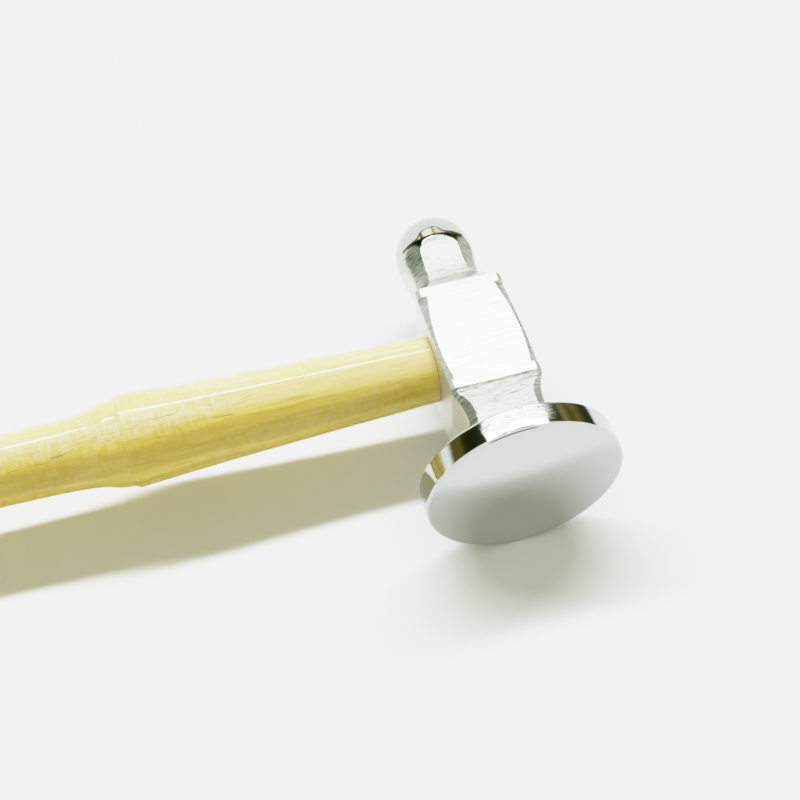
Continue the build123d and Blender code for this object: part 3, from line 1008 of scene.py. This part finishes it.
# Stops are (degrees round the head's axis, 0 above and 90 towards +X, colour).
# the dark side of the room behind the lamp
ROOM = [
    (-84, WHITE), (-77, (0.16, 0.13, 0.02)), (-66, (0.16, 0.14, 0.03)),
    (-60, (0.035, 0.035, 0.008)), (-52, (0.016, 0.018, 0.004)),
    (-38, (0.030, 0.040, 0.015)), (-28, (0.13, 0.13, 0.09)),
    (-15, (0.12, 0.12, 0.08)), (4, (0.20, 0.20, 0.16)),
    (20, (0.22, 0.21, 0.15)), (33, (0.20, 0.19, 0.10)),
    (44, (0.10, 0.10, 0.05)), (52, (0.07, 0.07, 0.03)),
    (58, (0.34, 0.28, 0.12)), (66, (0.14, 0.09, 0.02)),
    (76, (0.22, 0.18, 0.06)), (86, (0.05, 0.05, 0.015)),
    (96, (0.05, 0.05, 0.02)), (101, WHITE)]
# nearer +Y, the bright surround of the lamp with its dark struts
ARCH = [
    (-48, (0.16, 0.14, 0.04)), (-42, (0.30, 0.26, 0.08)), (-38, (0.95, 0.88, 0.55)),
    (-33, (1.3, 1.2, 0.85)), (-30, (0.25, 0.18, 0.03)), (-25, (0.35, 0.26, 0.05)),
    (-21, (1.5, 1.45, 1.25)), (-3, (1.8, 1.78, 1.6)), (8, (1.3, 1.2, 0.8)),
    (10, (0.20, 0.16, 0.05)), (13, (1.1, 1.0, 0.65)), (20, (1.3, 1.25, 1.0)),
    (36, (1.2, 1.1, 0.85)), (44, (0.50, 0.44, 0.26)), (60, (0.34, 0.30, 0.18))]
# (degrees, y of the view direction at which the dark room ends)
LID = [(-100, 0.66), (-45, 0.66), (-22, 0.75), (0, 0.79), (19, 0.80), (32, 0.70),
       (45, 0.66), (110, 0.66)]


def build_light():
    light = bpy.data.lights.new("key", "AREA")
    light.shape = "RECTANGLE"
    light.size = 2 * KEY_DISTANCE * math.tan(KEY_HALF_LENGTH)
    light.size_y = 2 * KEY_DISTANCE * math.tan(KEY_HALF_WIDTH)
    # power = pi * radiance * area, with radiance = irradiance / solid angle
    light.energy = math.pi * KEY_IRRADIANCE * KEY_DISTANCE**2 * KEY_GAIN
    light.color = (1.0, 1.015, 1.17)
    obj = bpy.data.objects.new("key", light)
    x_axis = Vector((1, 0, 0))
    towards = Vector((0.0, math.cos(KEY_ELEVATION), math.sin(KEY_ELEVATION)))
    obj.matrix_world = placed(x_axis, towards.cross(x_axis), towards,
                              Vector(EYE) + towards * KEY_DISTANCE)
    obj.visible_glossy = False
    obj.visible_camera = False
    link(obj)


def build_world():
    world = bpy.data.worlds.new("studio")
    bpy.context.scene.world = world
    world.use_nodes = True
    net = Nodes(world.node_tree)
    x, y, z = net.xyz(net.node("ShaderNodeTexCoord").outputs["Generated"])
    around = net.math("ARCTAN2", x, z)
    turn = net.add(net.mul(around, 1 / (2 * math.pi)), 0.5)

    # what reflections see: white, with a dark patch towards +Y
    lid = net.ramp_round(turn, [(degrees, (level,) * 3) for degrees, level in LID])
    over = net.math("SUBTRACT", y, lid)
    patch = net.mul(net.step(y, over=(0.42, 0.46)), net.step(over, over=(0.008, -0.008)))
    border = net.step(over, over=(-0.045, -0.025))
    seen = net.mix(net.step(y, over=(0.60, 0.63)),
                   net.ramp_round(turn, ROOM), net.ramp_round(turn, ARCH))
    seen = net.mix(net.mul(border, 0.85), seen, (0.22, 0.18, 0.06))
    room = net.background(net.mix(patch, WHITE, seen))
    # the strip lamp in reflections
    low, high = GLOSS_ELEVATION - GLOSS_HALF_WIDTH, GLOSS_ELEVATION + GLOSS_HALF_WIDTH
    strip = net.mul(
        net.band(net.math("ARCTAN2", z, y), rise=(low - GLOSS_SOFT, low + GLOSS_SOFT),
                 fall=(high + GLOSS_SOFT, high - GLOSS_SOFT)),
        net.band(around, rise=(math.radians(-34), math.radians(-31)),
                 fall=(math.radians(38), math.radians(30))))
    glossy = net.mix_shader(strip, room, net.background((1.0, 1.0, 0.99), strength=30.0))

    path = net.node("ShaderNodeLightPath")
    unseen = net.mix_shader(path.outputs["Is Glossy Ray"],
                            net.background((0.56, 0.57, 0.43)), glossy)
    net.node("ShaderNodeOutputWorld", {"Surface": net.mix_shader(
        path.outputs["Is Camera Ray"], unseen, net.background(BACKDROP))})


# --------------------------------------------------------------------- camera
CAMERA_RIGHT = Vector((0.96645137, -0.25168135, -0.05126645))
CAMERA_UP = Vector((0.23089903, 0.76389714, 0.60261663))
CAMERA_BACK = Vector((-0.11250507, -0.59423704, 0.79638241))
CAMERA_FROM_EYE = Vector((-0.03224901, -0.10343692, 0.13259317))
# Tone curve, (scene value, shown value): a gentle shoulder holds light tones
# just below white, and TONE_TOP shows as 1.
TONE_TOP = 5.0
SHOULDER_CURVE = [
    (0.15, 0.15), (0.30, 0.30), (0.50, 0.490), (0.70, 0.655), (0.90, 0.775),
    (1.05, 0.832), (1.20, 0.866), (1.60, 0.900), (2.50, 0.955)]


def build_camera():
    camera = bpy.data.cameras.new("camera")
    camera.sensor_width = 36.0
    camera.sensor_fit = "HORIZONTAL"
    camera.lens = 48.128
    camera.clip_start = 0.005
    camera.clip_end = 100.0
    obj = bpy.data.objects.new("camera", camera)
    obj.matrix_world = placed(CAMERA_RIGHT, CAMERA_UP, CAMERA_BACK,
                              CAMERA_FROM_EYE + Vector(EYE))
    link(obj)
    bpy.context.scene.camera = obj


def set_tones():
    view = bpy.context.scene.view_settings
    view.view_transform = "Standard"
    view.look = "None"
    view.exposure = 0.0
    view.gamma = 1.0
    view.use_curve_mapping = True
    mapping = view.curve_mapping
    mapping.black_level = (0.0, 0.0, 0.0)
    mapping.white_level = (TONE_TOP, TONE_TOP, TONE_TOP)
    mapping.extend = "HORIZONTAL"
    points = mapping.curves[3].points           # the combined curve
    points[0].location = (0.0, 0.0)
    points[1].location = (1.0, 1.0)
    for scene_value, shown in SHOULDER_CURVE:
        points.new(scene_value / TONE_TOP, shown)
    mapping.update()


build_floor()
build_light()
build_world()
build_camera()
set_tones()

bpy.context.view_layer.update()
